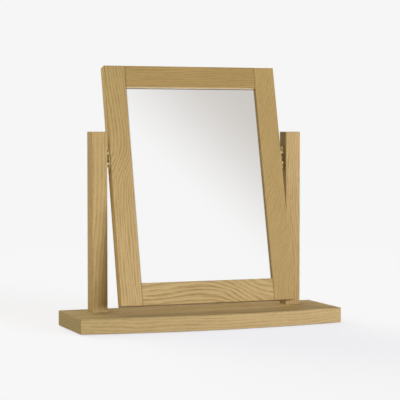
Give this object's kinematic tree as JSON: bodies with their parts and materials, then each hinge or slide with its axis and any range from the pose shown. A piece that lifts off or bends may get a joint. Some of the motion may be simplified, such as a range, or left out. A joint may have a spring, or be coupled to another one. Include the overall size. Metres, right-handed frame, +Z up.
{
  "type": "vanity mirror",
  "caption": "Free-standing oak swing mirror: a framed rectangular glass tilts between square posts on a bow-fronted plinth and stays put on friction swivels.",
  "frame": {"origin": "on the surface it stands on, under the middle of its overall outline in plan", "axes": "+X to the right seen from the front, +Y to the back, +Z up"},
  "size_m": [0.62, 0.2114, 0.5867],
  "materials": {
    "oak_stand": "satin lacquered light oak",
    "oak_frame": "satin lacquered light oak",
    "mirror": "polished silvered glass",
    "silvering": "silver film with grey back paint",
    "fibreboard": "plain brown fibreboard",
    "zinc_steel": "yellow zinc plated",
    "spring_steel": "dark spring steel",
    "nylon": "brown nylon",
    "felt": "brown felt"
  },
  "bodies": {
    "stand": {"base_plinth": "oak_stand", "felt_pads": "felt", "left_post": "oak_stand", "right_post": "oak_stand", "post_screws": "zinc_steel", "left_post_plate": "zinc_steel", "right_post_plate": "zinc_steel", "post_plate_screws": "zinc_steel", "swivel_rivets": "zinc_steel", "disc_springs": "spring_steel", "friction_bushes": "nylon"},
    "mirror_frame": {"left_stile": "oak_frame", "right_stile": "oak_frame", "top_rail": "oak_frame", "bottom_rail": "oak_frame", "mirror_glass": "mirror", "mirror_silvering": "silvering", "back_panel": "fibreboard", "panel_points": "zinc_steel", "left_frame_plate": "zinc_steel", "right_frame_plate": "zinc_steel", "frame_plate_screws": "zinc_steel"}
  },
  "joints": [
    {"name": "frame_tilt", "type": "hinge", "parent": "stand", "child": "mirror_frame", "pos_m": [0, 0.04467, 0.378], "axis": [-1, 0, 0], "continuous": true}
  ]
}
